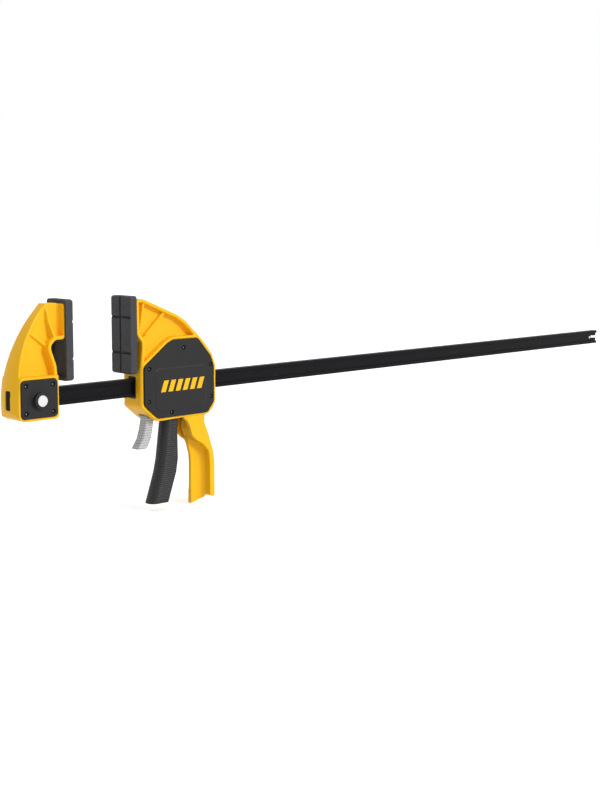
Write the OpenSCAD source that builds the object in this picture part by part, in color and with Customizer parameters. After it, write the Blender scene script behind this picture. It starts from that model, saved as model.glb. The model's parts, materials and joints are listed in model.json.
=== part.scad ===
// Quick release bar clamp: a fixed jaw pinned on an I-section bar, and a head that slides
// along it with a squeeze trigger, a release lever and a rear grip.
// X runs along the bar from the fixed pad's clamping plane, Y = 0 is the middle of the bar,
// Z = 0 is its centre line and +Z points to the tips of the jaws.

/* [Opening] */
// Gap between the two pads as drawn
opening = 77; // [20:1:300]
// Widest gap between the pads, with the head against the stop pin
max_opening = 914; // [400:1:1300]

/* [Bar] */
// Height of the I-section
bar_h = 21; // [19:0.5:22]
// Width of the flanges
bar_t = 9; // [8:0.25:10]
// Height of each flange
flange_h = 4; // [3:0.25:4.5]
// Thickness of the web
web_t = 4.6; // [3.6:0.2:6]
// Radius of the lock holes near the ends
lock_hole_r = 3.35; // [3:0.05:4]
// Width of the slot from a lock hole to the bar's end
key_slot_w = 3.8; // [3:0.1:5]
// Distance from a lock hole to the bar's end
lock_margin = 11; // [8:0.5:14]
// Radius of the stop pin
stop_pin_r = 2; // [1.5:0.25:2.5]
// Distance from the stop pin to the far lock hole
stop_pin_margin = 10; // [8:0.5:14]

/* [Jaws] */
// Width of the two jaw castings
body_w = 36; // [34:0.5:42]
// Height of the jaws' tips above the bar's centre line
nose_top = 103; // [98:0.5:112]
// Height of the underside of the noses above the bar's centre line
nose_low = 64; // [58:0.5:70]
// Width of the nose plates that carry the pads
nose_w = 30; // [26:0.5:31]
// Width of the flange along the fixed jaw's throat
throat_w = 32; // [28:0.5:34]
// Thickness of the web inside the jaws' rims
jaw_web_t = 13; // [10:0.5:16]
// Width of the rim round the jaws' recesses
rim = 4; // [3:0.25:5]
// Thickness of the stiffening ribs
rib_t = 3; // [2:0.25:4]
// Fillet between the fixed jaw's web and its nose plate
nose_fillet_r = 4; // [2:0.5:6]
// Radius that the fixed jaw's spine is crowned to, across its width
spine_crown_r = 52; // [40:1:80]
// Rounding of the housing's upright front edges
housing_edge_r = 5; // [3:0.5:6]
// Distance from the clamping plane to the crown of the fixed jaw's end face
jaw_reach = 76; // [72:0.5:82]
// Depth of the fixed jaw's base below the bar's centre line
base_low = 22.5; // [21.5:0.5:24.5]

/* [Pads] */
// Width of a pad
pad_w = 36; // [34:0.5:40]
// Height of a pad
pad_h = 90; // [80:1:94]
// Thickness of a pad
pad_t = 10.5; // [9:0.5:13]
// Thickness of a pad's front wall
pad_wall = 5.3; // [4:0.1:7]
// Height of a pad's upper edge above the tip of the jaw
pad_lip = 4.5; // [3.5:0.25:5.5]
// Width of the grooves in the pads
groove_w = 2.2; // [1.5:0.1:3]
// Depth of the grooves in the pads
groove_d = 1.6; // [1:0.1:2.5]
// Distance from a pad's ends to its cross grooves
groove_from_end = 24.5; // [18:0.5:30]

/* [Head] */
// Distance from the moving pad's face to the back of the head
head_depth = 130; // [127:0.5:140]
// Distance from the moving pad's face to the front of the housing
housing_front = 16; // [15:0.25:17]
// Depth of the housing below the bar's centre line
housing_low = 39.5; // [38:0.25:42]
// Height of the shoulder where the arm meets the housing
shoulder_z = 50; // [48:0.5:54]
// Wall between the mechanism's cavity and the covers' edges
cavity_wall = 5; // [4.5:0.25:5.5]
// Depth of the rear grip below the bar's centre line
grip_low = 143; // [138:1:150]
// Width of the grip's back
grip_w = 32; // [30:0.5:34]
// Width of the grip's web
grip_web_w = 13; // [11:0.25:13.5]

/* [Covers] */
// Thickness of the side covers
cover_t = 3.5; // [3:0.1:4.5]
// Depth of the seats that the covers lie in
cover_sink = 2; // [1.5:0.1:2.5]
// Height of the raised panels on the head's covers
panel_h = 0.8; // [0.4:0.1:1.2]
// Radius of the cover screws' shanks
screw_r = 1.3; // [1:0.05:1.5]
// Radius of the cover screws' heads
screw_head_r = 2.2; // [1.9:0.1:2.5]
// Height of the cover screws' heads
screw_head_h = 1.2; // [0.9:0.1:1.4]

/* [Trigger] */
// Width of the trigger
trigger_w = 20; // [18.5:0.25:20.5]
// Thickness of the trigger's walls
trigger_wall = 2.5; // [2:0.1:2.6]
// Radius of the trigger's pivot pin
pivot_r = 3; // [2.5:0.1:3.5]
// Radius of the pin that pushes the drive plates
drive_pin_r = 2.5; // [2:0.1:2.8]

/* [Release lever] */
// Width of the release lever
lever_w = 14; // [12:0.25:15]
// Radius of the release lever's pivot pin
lever_pin_r = 2; // [1.6:0.1:2.2]

/* [Mechanism] */
// Thickness of a drive plate
drive_plate_t = 2.5; // [2:0.1:2.8]
// Number of drive plates
drive_plates = 3; // [1:1:3]
// Thickness of the brake plate
brake_plate_t = 3; // [2.4:0.1:3.2]
// Lean of the brake plate from upright
brake_lean = 3; // [2:0.25:3.5]
// Wire thickness of the drive spring
drive_wire = 1.8; // [1.4:0.1:2]
// Wire thickness of the brake spring and the button spring
small_wire = 0.9; // [0.7:0.05:1]

/* [Button] */
// Radius of the quick release button
button_r = 6.25; // [5.5:0.25:6.5]
// Stroke of the quick release button
button_stroke = 5; // [4:0.25:5]
// Radius of the collar round the button
collar_r = 9; // [8.5:0.25:9.5]
// Height of the collar above the cover
collar_h = 5; // [4:0.25:6]
// Height of the button above the collar
button_proud = 2; // [1:0.25:3]

/* [Hidden] */
$fn = 64;

yellow = "#f7c31a";
charcoal = "#3b3b3d";
rubber_grey = "#46464a";
bar_black = "#1d1d1f";
bright_steel = "#c9ccd0";
cast_silver = "#b9bcc0";
spring_steel = "#8f949a";

// Clearances: a running fit on a radius, a sliding fit on a side, and a free gap
run_fit = 0.05;
slide_fit = 0.15;
free_gap = 0.3;
eps = 0.01;
far = 400;

half_w = body_w / 2;
cover_seat = half_w - cover_sink;
cover_face = cover_seat + cover_t;
lock_x = -47.5;
near_end = lock_x - lock_margin;
stop_x = max_opening + head_depth + stop_pin_r;
far_lock_x = stop_x + stop_pin_margin;
far_end = far_lock_x + lock_margin;
recess_h = bar_h - 2 * flange_h;
pad_top = nose_top + pad_lip;
pad_low = pad_top - pad_h;

// ---------------------------------------------------------------- helpers

// Extrude an outline drawn in X and Z from y0 to y1
module between(y0, y1) {
    translate([0, y1, 0]) rotate([90, 0, 0]) linear_extrude(y1 - y0) children();
}

// Extrude an outline drawn in X and Z, centred on the bar's plane
module slab(width) {
    between(-width / 2, width / 2) children();
}

// Extrude an outline drawn in Y and Z from x0 to x1
module along_x(x0, x1) {
    translate([x0, 0, 0]) rotate([90, 0, 90]) linear_extrude(x1 - x0) children();
}

module both_halves() {
    children();
    mirror([1, 0]) children();
}

module both_sides() {
    children();
    mirror([0, 1, 0]) children();
}

// A round bar or hole across the clamp, from y0 to y1
module cross_pin(p, r, y0, y1) {
    translate([p[0], y0, p[1]]) rotate([-90, 0, 0]) cylinder(r = r, h = y1 - y0);
}

// Round the corners that point outwards by r
module soften(r, faces = 24) {
    offset(r, $fn = faces) offset(delta = -r) children();
}

// A straight strip of width t between two points
module strip(a, b, t) {
    angle = atan2(b[1] - a[1], b[0] - a[0]);
    translate(a) rotate(angle) translate([-t / 2, -t / 2])
        square([norm(b - a) + t, t]);
}

// Everything above or below a height, as an outline
module above(z) { translate([-far, z]) square([4 * far, far]); }
module below(z) { translate([-far, z - far]) square([4 * far, far]); }

// A helical compression spring of round wire, standing on Z = 0, with closed ends
module coil_spring(mean_r, wire, length, turns, sides = 6, steps = 14) {
    dead = 0.6;
    count = round(turns * steps);
    function lift(i) = wire / 2 + (length - wire)
        * min(1, max(0, (i / steps - dead) / (turns - 2 * dead)));
    points = [for (i = [0 : count], k = [0 : sides - 1])
        let (a = 360 * i / steps, b = 360 * k / sides, r = mean_r + wire / 2 * cos(b))
        [r * cos(a), r * sin(a), lift(i) + wire / 2 * sin(b)]];
    walls = [for (i = [0 : count - 1], k = [0 : sides - 1])
        let (n = (k + 1) % sides, p = i * sides, q = p + sides)
        each [[p + k, q + k, q + n], [p + k, q + n, p + n]]];
    first = [[for (k = [0 : sides - 1]) k]];
    last = [[for (k = [sides - 1 : -1 : 0]) count * sides + k]];
    polyhedron(points, concat(walls, first, last));
}

// A level slice of a grip, for a hull: rounded at the front, nearly square at the back
module grip_slice(z, front, rear, width, front_r, rear_r = 1) {
    translate([0, 0, z]) linear_extrude(0.3) for (s = [-1, 1]) {
        translate([front + front_r, s * (width / 2 - front_r)]) circle(front_r, $fn = 32);
        translate([rear - rear_r, s * (width / 2 - rear_r)]) circle(rear_r, $fn = 16);
    }
}

// ---------------------------------------------------------------- bar

module bar_section(play = 0) {
    difference() {
        square([bar_t + 2 * play, bar_h + 2 * play], center = true);
        for (s = [-1, 1]) translate([s * (web_t / 2 + play + far / 2), 0])
            square([far, recess_h - 2 * play], center = true);
    }
}

module key_hole(x, end) {
    cross_pin([x, 0], lock_hole_r, -bar_t, bar_t);
    slab(2 * bar_t) translate([min(x, end), -key_slot_w / 2])
        square([abs(end - x), key_slot_w]);
}

module bar() {
    color(bar_black) difference() {
        along_x(near_end, far_end) bar_section();
        key_hole(lock_x, near_end - 1);
        key_hole(far_lock_x, far_end + 1);
        cross_pin([stop_x, 0], stop_pin_r, -bar_t, bar_t);
    }
}

module stop_pin() {
    color(bright_steel) cross_pin([stop_x, 0], stop_pin_r, -bar_t / 2, bar_t / 2);
}

// ---------------------------------------------------------------- fixed jaw

jaw_r = 4;
cover_margin = 3;
cover_top = 22.5;
cover_low = base_low - cover_margin;
base_top = cover_top + cover_margin;
base_right = -21.5;
throat_x = -28.7;
throat_z = nose_low - 8;
nose_plate_back = pad_t + 1.5;
spine_low_w = 27.5;
spine_mid_w = 19.5;
spine_top_w = 14;
spine_tip_w = 8;
jaw_cover_left = -jaw_reach + 5.6;
jaw_cover_right = base_right - 2.2;
jaw_screw_inset = [6, 6];

// The spine is part of a ring about this centre, crowned across its width
spine_r = 148;
spine_z = -4.5;
spine_centre = [-jaw_reach + sqrt(pow(spine_r, 2) - pow(spine_z, 2)), spine_z];

module spine_barrel() {
    translate([spine_centre[0], 0, spine_centre[1]]) rotate([-90, 0, 0])
        rotate_extrude($fn = 180) intersection() {
            translate([0, -half_w]) square([spine_r, body_w]);
            union() {
                translate([0, -half_w]) square([spine_r - spine_crown_r, body_w]);
                translate([spine_r - spine_crown_r, 0]) circle(spine_crown_r);
            }
        }
}

module fixed_jaw_outline() {
    soften(jaw_r) offset(-6, $fn = 32) offset(delta = 6) intersection() {
        translate(spine_centre) circle(spine_r + 0.3, $fn = 120);
        polygon([
            [-jaw_reach + 11, -base_low], [base_right, -base_low], [base_right, base_top + 3],
            [base_right - 0.9, base_top + 11], [throat_x + 4.2, throat_z - 14],
            [throat_x, throat_z - 2], [throat_x, throat_z + 2], [throat_x + 6, nose_low],
            [-nose_plate_back + 1, nose_low], [-nose_plate_back + 1, nose_top + 0.5],
            [-31, nose_top + 0.5], [-far, nose_top - far / 2], [-far, -12],
            [-jaw_reach, -12], [-jaw_reach + 3.5, -base_low + 4]
        ]);
    }
}

// Half widths of the jaw's outer rim, narrowing from the base to the tip
module spine_taper() {
    half = [
        [half_w, -far], [half_w, base_top - 12], [spine_low_w / 2, base_top + 7],
        [spine_mid_w / 2, nose_low - 3], [spine_top_w / 2, nose_top - 14],
        [spine_tip_w / 2, nose_top - 1], [spine_tip_w / 2, far]
    ];
    both_halves() polygon(concat([[0, -far]], half, [[0, far]]));
}

module throat_side() {
    polygon([
        [far, -far], [far, nose_low + rim + 2], [throat_x + 14, nose_low + rim + 2],
        [throat_x - 5, nose_low], [throat_x - 8, base_top], [throat_x - 8, -far]
    ]);
}

// The rim leaves the back of the nose plate free
module fixed_jaw_rim() {
    difference() {
        fixed_jaw_outline();
        offset(delta = -rim) fixed_jaw_outline();
        translate([-nose_plate_back - rim, nose_low + rim])
            square([far, nose_top - nose_low - 2 * rim - 1]);
    }
}

module lower_rib() {
    intersection() {
        fixed_jaw_outline();
        strip([-62, nose_low + 17.5], [-33, nose_low - 5], rib_t);
    }
}

module upper_rib() {
    intersection() {
        fixed_jaw_outline();
        union() {
            strip([-29.5, nose_top], [-28, nose_low + 22], rib_t);
            strip([-28, nose_low + 22], [-23, nose_low + 2], rib_t);
        }
    }
}

// Half widths of the upper rib, falling from the throat's flange to the jaw's tip
module upper_rib_taper() {
    half = [
        [throat_w / 2, -far], [throat_w / 2, nose_low + 2], [jaw_web_t / 2 + 8, nose_low + 8],
        [jaw_web_t / 2 + 5, nose_top - 21], [jaw_web_t / 2 + 3.7, nose_top - 10],
        [jaw_web_t / 2 + 0.5, nose_top - 3], [jaw_web_t / 2 + 0.5, far]
    ];
    both_halves() polygon(concat([[0, -far]], half, [[0, far]]));
}

module nose_fillet() {
    r = nose_fillet_r;
    both_sides() translate([-nose_plate_back, jaw_web_t / 2, nose_low + 1])
        linear_extrude(nose_top - nose_low - 2) difference() {
            translate([-r, -1]) square([r + 0.5, r + 1]);
            translate([-r + 0.05, r - 0.05]) circle(r);
        }
}

module jaw_cover_outline() {
    soften(5, 32) translate([jaw_cover_left, -cover_low])
        square([jaw_cover_right - jaw_cover_left, cover_top + cover_low]);
}

function jaw_screw_places() = [
    for (x = [jaw_cover_left + jaw_screw_inset[0], jaw_cover_right - jaw_screw_inset[0]],
         z = [-cover_low + jaw_screw_inset[1], cover_top - jaw_screw_inset[1]]) [x, z]
];

// The nose plate sits in the pocket of the pad
module nose_plate(x0, x1) {
    along_x(x0, x1) soften(3) translate([-nose_w / 2, nose_low])
        square([nose_w, nose_top - nose_low]);
}

module fixed_jaw() {
    color(yellow) difference() {
        union() {
            intersection() {
                union() {
                    slab(jaw_web_t) fixed_jaw_outline();
                    slab(body_w) intersection() { fixed_jaw_outline(); below(base_top); }
                    slab(throat_w) intersection() { fixed_jaw_rim(); throat_side(); }
                    intersection() {
                        slab(body_w) fixed_jaw_rim();
                        along_x(-jaw_reach - 1, 0) spine_taper();
                    }
                    intersection() {
                        slab(jaw_web_t + 9) lower_rib();
                        along_x(-jaw_reach - 1, 0) spine_taper();
                    }
                    intersection() {
                        slab(throat_w) upper_rib();
                        along_x(-jaw_reach - 1, 0) upper_rib_taper();
                    }
                }
                spine_barrel();
            }
            nose_plate(-nose_plate_back, -pad_wall);
            nose_fillet();
        }
        along_x(-far, 0) square([bar_t + 2 * slide_fit, bar_h + 2 * slide_fit], center = true);
        both_sides() between(cover_seat, far)
            offset(delta = slide_fit) jaw_cover_outline();
        cross_pin([lock_x, 0], button_r + run_fit, -far, -bar_t / 2);
        cross_pin([lock_x, 0], button_tail_r + 0.7, bar_t / 2, far);
        for (p = jaw_screw_places())
            both_sides() cross_pin(p, screw_r + run_fit, screw_tip - free_gap, far);
    }
}

// ---------------------------------------------------------------- covers and screws

screw_tip = cover_seat - 5;
screw_seat = cover_face - screw_head_h - 0.4;

module cover_screw(p) {
    difference() {
        union() {
            cross_pin(p, screw_r, screw_tip, screw_seat + eps);
            cross_pin(p, screw_head_r, screw_seat, screw_seat + screw_head_h);
        }
        translate([p[0], screw_seat + 0.3, p[1]]) rotate([-90, 0, 0])
            cylinder(r = screw_head_r * 0.55, h = far, $fn = 6);
    }
}

// One side cover, lying on its seat on the +Y side
module cover_plate(places) {
    difference() {
        between(cover_seat, cover_face) children();
        for (p = places) {
            cross_pin(p, screw_r + 0.2, 0, far);
            cross_pin(p, screw_head_r + 0.4, screw_seat, far);
        }
    }
}

module fixed_jaw_front_cover() {
    color(charcoal) mirror([0, 1, 0]) difference() {
        union() {
            cover_plate(jaw_screw_places()) jaw_cover_outline();
            cross_pin([lock_x, 0], collar_r, cover_face - eps, cover_face + collar_h);
        }
        cross_pin([lock_x, 0], button_r + run_fit, 0, far);
    }
}

module fixed_jaw_rear_cover() {
    color(charcoal) cover_plate(jaw_screw_places()) jaw_cover_outline();
}

module fixed_jaw_screws() {
    color(spring_steel) for (p = jaw_screw_places()) both_sides() cover_screw(p);
}

// ---------------------------------------------------------------- pads

pad_rim = 4;

// A pad whose clamping face lies at X = 0 and whose back points to -X
module pad() {
    pocket_play = slide_fit;
    difference() {
        hull() {
            along_x(-pad_t, -2) pad_outline(0);
            along_x(-pad_t, 0) pad_outline(1.2);
        }
        along_x(-groove_d, 1) {
            square([groove_w, far], center = true);
            for (z = [pad_low + groove_from_end, pad_top - groove_from_end])
                translate([0, z]) square([far, groove_w], center = true);
        }
        along_x(-far, -pad_wall) offset(delta = pocket_play)
            translate([-nose_w / 2, nose_low]) square([nose_w, nose_top - nose_low]);
        along_x(-far, -pad_wall) soften(2) translate([-nose_w / 2, pad_low + pad_rim])
            square([nose_w, nose_low - pad_low - pad_rim - 3]);
    }
}

module pad_outline(inset) {
    offset(delta = -inset) soften(3) translate([-pad_w / 2, pad_low]) square([pad_w, pad_h]);
}

module fixed_pad() {
    color(rubber_grey) pad();
}

module moving_pad() {
    color(rubber_grey) at_head() mirror([1, 0, 0]) pad();
}

// ---------------------------------------------------------------- quick release button

button_face = cover_face + collar_h + button_proud;
button_back = bar_t / 2 + 3.7;
pin_half = web_t / 2 + 0.2;
button_tail_r = lock_hole_r - run_fit;
neck_r = key_slot_w / 2 - 0.1;

// Pressing the button takes the thick part of its pin out of the web and brings the neck in,
// which passes along the key slot
module quick_release_button() {
    color(bright_steel) translate([lock_x, 0, 0]) rotate([-90, 0, 0]) rotate_extrude() polygon([
        [0, -button_face], [button_r - 0.8, -button_face], [button_r, -button_face + 0.8],
        [button_r, -button_back], [neck_r, -button_back], [neck_r, -pin_half],
        [button_tail_r, -pin_half], [button_tail_r, button_back - 2],
        [0, button_back - 2]
    ]);
}

module button_spring() {
    length = cover_seat - button_back + 2 - 0.1;
    color(spring_steel) translate([lock_x, button_back - 2 + 0.05, 0]) rotate([-90, 0, 0])
        coil_spring(button_tail_r - small_wire / 2 + 0.1, small_wire, length, 5, steps = 12);
}

// ---------------------------------------------------------------- head

// The head's own X is measured from the moving pad's clamping face
module at_head() {
    translate([opening, 0, 0]) children();
}

crown_x = head_depth - 51;
grip_rear = head_depth - 3;
grip_step = head_depth - 12;
head_panel = [36, 112];

pivot = [58, 24];
lever_pivot = [29, -24];
brake_pivot = [37.2, 24];
drive_pin_at = [63.5, -22];
drive_front = drive_pin_at[0] + drive_pin_r + run_fit;
plate_gap = 0.25;
drive_stack = drive_plates * (drive_plate_t + plate_gap) - plate_gap;
guide_wall = 2;
guide_flange_t = 2;
rear_wall_x = head_depth - 4 - cavity_wall;
head_cover_front = housing_front + 3.5;
front_wall_x = head_cover_front + cavity_wall;
floor_z = -housing_low + 7;
lever_slot_w = lever_w + 1.6;
trigger_slot_w = trigger_w + 1.6;
seat_rib_x = 48;
seat_rib_t = 2.5;

module head_outline() {
    soften(5) offset(-4, $fn = 32) offset(delta = 4) polygon([
        [nose_plate_back - 1, nose_top + 1], [22, nose_top + 0.5], [crown_x - 7, 83],
        [crown_x + 5, 75.5],
        [head_depth - 19, shoulder_z], [head_depth - 5, 33], [head_depth, 20],
        [head_depth, -24], [head_depth - 4, -33], [head_depth - 12, -housing_low],
        [40, -housing_low], [housing_front, -20], [housing_front, 22],
        [housing_front + 2, 46], [housing_front + 2, 54], [nose_plate_back - 1, nose_low - 1]
    ]);
}

module head_cover_outline() {
    soften(6, 32) polygon([
        [head_cover_front, 24.5], [55.5, 50.5], [64, 54], [head_depth - 29, 54],
        [head_depth - 9, 31.5],
        [head_depth - 4, 19], [head_depth - 4, -25], [head_depth - 14, -housing_low + 2.2],
        [40.5, -housing_low + 2.2], [head_cover_front, -19.5]
    ]);
}

head_screw_places = [
    [27, 22], [79, 44], [head_depth - 9, 21], [head_depth - 8.5, -18], [60, -31.5], [26, -16.5]
];

module head_rim() {
    difference() {
        head_outline();
        offset(delta = -rim) head_outline();
    }
}

// The head's rim narrows a little from the shoulder to the tip
module head_taper() {
    polygon([
        [-half_w, -far], [half_w, -far], [half_w, shoulder_z], [throat_w / 2, nose_top - 4],
        [throat_w / 2, far], [-throat_w / 2, far], [-throat_w / 2, nose_top - 4],
        [-half_w, shoulder_z]
    ]);
}

module head_ribs() {
    intersection() {
        head_outline();
        union() {
            strip([24, nose_top - 1], [18.5, nose_low + 2], rib_t);
            strip([60, 92], [27, nose_low - 2], rib_t);
        }
    }
}

// What the rounding of the housing's upright front edges takes away, below the shoulder
module housing_corners() {
    r = housing_edge_r;
    translate([0, 0, -far]) linear_extrude(far + shoulder_z - 2)
        for (s = [-1, 1]) difference() {
            translate([housing_front - 1, s * (half_w - r / 2 + 0.5) - (r + 1) / 2]) square(r + 1);
            translate([housing_front + r - 0.05, s * (half_w - r + 0.05)]) circle(r);
        }
}

module cavity_outline() {
    intersection() {
        offset(delta = -cavity_wall) head_cover_outline();
        translate([front_wall_x, -far]) square([rear_wall_x - front_wall_x, 2 * far]);
        above(floor_z);
    }
}

// The full-width back of the grip, from the housing down to the heel
module grip_spine_outline() {
    soften(2) offset(-5, $fn = 32) offset(delta = 5) polygon([
        [81, -housing_low + 3], [82, -44], [87.5, -52], [92, -64], [99, -70.5], [111, -77],
        [116.5, -85.5], [grip_step, -102], [grip_step, -grip_low + 1.3],
        [grip_rear, -grip_low - 1],
        [grip_rear, -98], [grip_rear - 1.5, -87], [grip_rear - 8, -68],
        [grip_rear - 16, -50], [grip_rear - 15, -44], [grip_rear - 9, -housing_low + 3]
    ]);
}

// Height, front edge and rear edge of the grip's web, from the housing down past the heel
grip_web_slices = [
    [-46, 89, 108], [-57, 90.2, 111], [-67, 94.8, 115], [-78, 99, 118], [-89, 102.3, 121],
    [-101, 103.5, 121], [-grip_low - 15, 103.4, 120.9]
];

// Slope of the web's foot, and how far it hangs below the heel
web_foot_angle = 21.7;
web_foot_drop = 2;

// The grip's web, rounded along its front
module grip_web() {
    difference() {
        for (i = [0 : len(grip_web_slices) - 2]) hull() for (k = [i, i + 1])
            grip_slice(grip_web_slices[k][0], grip_web_slices[k][1], grip_web_slices[k][2],
                grip_web_w, grip_web_w / 2 - 0.5);
        translate([grip_step + 0.7, 0, -grip_low - web_foot_drop]) slab(body_w) polygon([
            [-far, -far * tan(web_foot_angle)], [0, 0], [0, rim], [rim, rim], [rim, -far],
            [-far, -far]
        ]);
    }
}

// The slot that the trigger swings back in, between the grip's cheeks
trigger_slot_front = 53;
trigger_slot_low = [[76, -housing_low - 1], [84, -90]];
trigger_slot_rear = [
    [112, -90], [108.5, -73], [101, -52], [98, -housing_low], [96, floor_z + 1]
];

module trigger_slot() {
    slab(trigger_slot_w) polygon(concat(
        [[trigger_slot_front, floor_z + 1], [trigger_slot_front, -housing_low - 1]],
        trigger_slot_low, trigger_slot_rear
    ));
}

module lever_slot() {
    slab(lever_slot_w) polygon([
        [20.4, -13], [33, -13], [46.5, floor_z + 1], [46.5, -far], [10, -far], [10, -30],
        [20.4, -19.5]
    ]);
}

module brake_seat_ribs() {
    seat = brake_plate_t / 2 + 0.4;
    slab(2 * cover_seat) intersection() {
        translate([0, brake_pivot[1] - 1.5]) square([far, far]);
        offset(delta = eps - cavity_wall + 1) head_cover_outline();
        union() for (s = [-1, 1])
            translate([brake_pivot[0] + s * (seat + rib_t / 2) - rib_t / 2, 0]) square([rib_t, far]);
    }
}

module head_bosses() {
    both_sides() between(cover_seat - 5.2, cover_seat) intersection() {
        offset(delta = -1) head_cover_outline();
        union() {
            for (p = head_screw_places) translate(p) circle(4.2);
            translate(head_screw_places[1] - [2.5, 0]) square([5, 10]);
        }
    }
}

module guide_hole(x0, x1) {
    along_x(x0, x1) square([bar_t + 2 * (slide_fit + guide_wall), bar_h + 2 * (slide_fit
        + guide_wall)], center = true);
}

module head_body() {
    color(yellow) at_head() difference() {
        union() {
            difference() {
                union() {
                    slab(jaw_web_t + 5) head_outline();
                    slab(body_w) intersection() {
                        head_outline();
                        offset(delta = 3.5) head_cover_outline();
                    }
                    intersection() {
                        slab(body_w) head_rim();
                        along_x(0, head_depth + 1) head_taper();
                    }
                    intersection() {
                        slab(jaw_web_t + 15) head_ribs();
                        along_x(0, head_depth + 1) head_taper();
                    }
                    nose_plate(pad_wall, nose_plate_back);
                    slab(grip_w) grip_spine_outline();
                }
                slab(2 * cover_seat) cavity_outline();
                trigger_slot();
                housing_corners();
            }
            // the corner that carries the release lever's pin
            slab(2 * cover_seat) intersection() {
                head_outline();
                offset(delta = -1) head_cover_outline();
                translate([0, -far]) square([33, far - 14.5]);
            }
            head_bosses();
            brake_seat_ribs();
            slab(16) translate([seat_rib_x, -housing_low + 1])
                square([seat_rib_t, housing_low - 1 - bar_h / 2 - 1.3]);
            grip_web();
        }
        lever_slot();
        guide_hole(0, front_wall_x + 1);
        guide_hole(rear_wall_x - 1, far);
        both_sides() between(cover_seat, far) offset(delta = slide_fit) head_cover_outline();
        cross_pin(lever_pivot, lever_pin_r + 0.02, -far, far);
        for (p = head_screw_places)
            both_sides() cross_pin(p, screw_r + run_fit, screw_tip - free_gap, far);
    }
}

// One head cover with its raised panel and the boss that carries the trigger's pivot pin
module head_cover() {
    boss_depth = 5;
    difference() {
        union() {
            cover_plate(head_screw_places) head_cover_outline();
            between(cover_face - eps, cover_face + panel_h) soften(5) polygon([
                [head_panel[0], 21], [head_panel[0], -24], [head_panel[0] + 6, -30],
                [head_panel[1] - 6, -30], [head_panel[1], -24], [head_panel[1], 21]
            ]);
            cross_pin(pivot, pivot_r + 3, cover_seat - boss_depth, cover_seat + eps);
        }
        cross_pin(pivot, pivot_r + run_fit, 0, cover_seat);
        cross_pin(head_screw_places[4], screw_head_r + 0.4, screw_seat, far);
    }
}

module head_front_cover() {
    color(charcoal) at_head() mirror([0, 1, 0]) head_cover();
}

module head_rear_cover() {
    color(charcoal) at_head() head_cover();
}

module head_cover_screws() {
    color(spring_steel) at_head() for (p = head_screw_places) both_sides() cover_screw(p);
}

// ---------------------------------------------------------------- bar guides

module guide_frame(outer_w, outer_h) {
    difference() {
        square([outer_w, outer_h], center = true);
        square([bar_t + 2 * slide_fit, bar_h + 2 * slide_fit], center = true);
    }
}

guide_w = bar_t + 2 * (slide_fit + guide_wall) - 0.1;
guide_h = bar_h + 2 * (slide_fit + guide_wall) - 0.1;

module front_bar_guide() {
    color(charcoal) at_head() {
        along_x(housing_front, front_wall_x + 2 * eps) guide_frame(guide_w, guide_h);
        along_x(front_wall_x + eps, front_wall_x + guide_flange_t)
            guide_frame(guide_w + 4, guide_h + 1.2);
    }
}

// Keys inside the rear guide ride in the bar's recesses and meet the stop pin
module rear_bar_guide() {
    key_t = (bar_t - web_t) / 2 - slide_fit;
    color(charcoal) at_head() {
        along_x(rear_wall_x - 2 * eps, head_depth) {
            guide_frame(guide_w, guide_h);
            for (s = [-1, 1]) translate([s * (bar_t / 2 + slide_fit - (key_t - eps) / 2), 0])
                square([key_t + eps, recess_h - 4 * slide_fit], center = true);
        }
        along_x(rear_wall_x - guide_flange_t, rear_wall_x - eps) difference() {
            circle(spring_mean_r + drive_wire / 2 + 0.5);
            square([bar_t + 2 * slide_fit, bar_h + 2 * slide_fit], center = true);
        }
    }
}

// ---------------------------------------------------------------- pins and springs

spring_mean_r = norm([bar_h, bar_t]) / 2 + 0.6 + drive_wire / 2;

module trigger_pivot_pin() {
    color(bright_steel) at_head() cross_pin(pivot, pivot_r, -cover_seat + 0.1, cover_seat - 0.1);
}

module release_lever_pin() {
    color(bright_steel) at_head()
        cross_pin(lever_pivot, lever_pin_r, -cover_seat + 0.1, cover_seat - 0.1);
}

// Rear face of the leaning brake plate at a height
function brake_rear(z) = brake_pivot[0] - (brake_pivot[1] - z) * tan(brake_lean)
    + brake_plate_t / 2 / cos(brake_lean);
brake_spring_z = -bar_h / 2 - 5.9;

module brake_spring() {
    start = brake_rear(brake_spring_z - 4) + 0.35;
    color(spring_steel) at_head() translate([start, 0, brake_spring_z]) rotate([0, 90, 0])
        coil_spring(3.5, small_wire, seat_rib_x - start - 0.05, 4, steps = 12);
}

module drive_spring() {
    start = drive_front + drive_stack + 0.1;
    color(spring_steel) at_head() translate([start, 0, 0]) rotate([0, 90, 0])
        coil_spring(spring_mean_r, drive_wire, rear_wall_x - guide_flange_t - start - 0.1, 8);
}

// ---------------------------------------------------------------- trigger

// Height, front edge and rear edge of the trigger's grip
trigger_slices = [
    [-37, 59.3, 78], [-56, 57, 76.6], [-72, 54.8, 76.8], [-90, 52.4, 77.2],
    [-106, 48.6, 74.6], [-123, 42.8, 68.6], [-142, 36.5, 61.8]
];
trigger_end = trigger_slices[len(trigger_slices) - 1];
cheek_gap = bar_t + 3;
cheek_low = -33;

module trigger_grip() {
    difference() {
        for (i = [0 : len(trigger_slices) - 2]) hull() for (k = [i, i + 1])
            grip_slice(trigger_slices[k][0], trigger_slices[k][1], trigger_slices[k][2],
                trigger_w - 0.4, 6, 1.5);
        slab(trigger_w - 2 * trigger_wall) polygon(concat(
            [for (s = trigger_slices) if (s != trigger_end)
                [s[1] + trigger_wall + 0.5, s[0] + 5]],
            [[trigger_end[1] + 7.5, trigger_end[0] + 4], [trigger_end[2] - 5, trigger_end[0] + 3],
             [trigger_end[2] - 5, -far], [far, -far], [far, 0],
             [trigger_slices[0][1] + trigger_wall + 0.5, 0]]
        ));
    }
}

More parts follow.
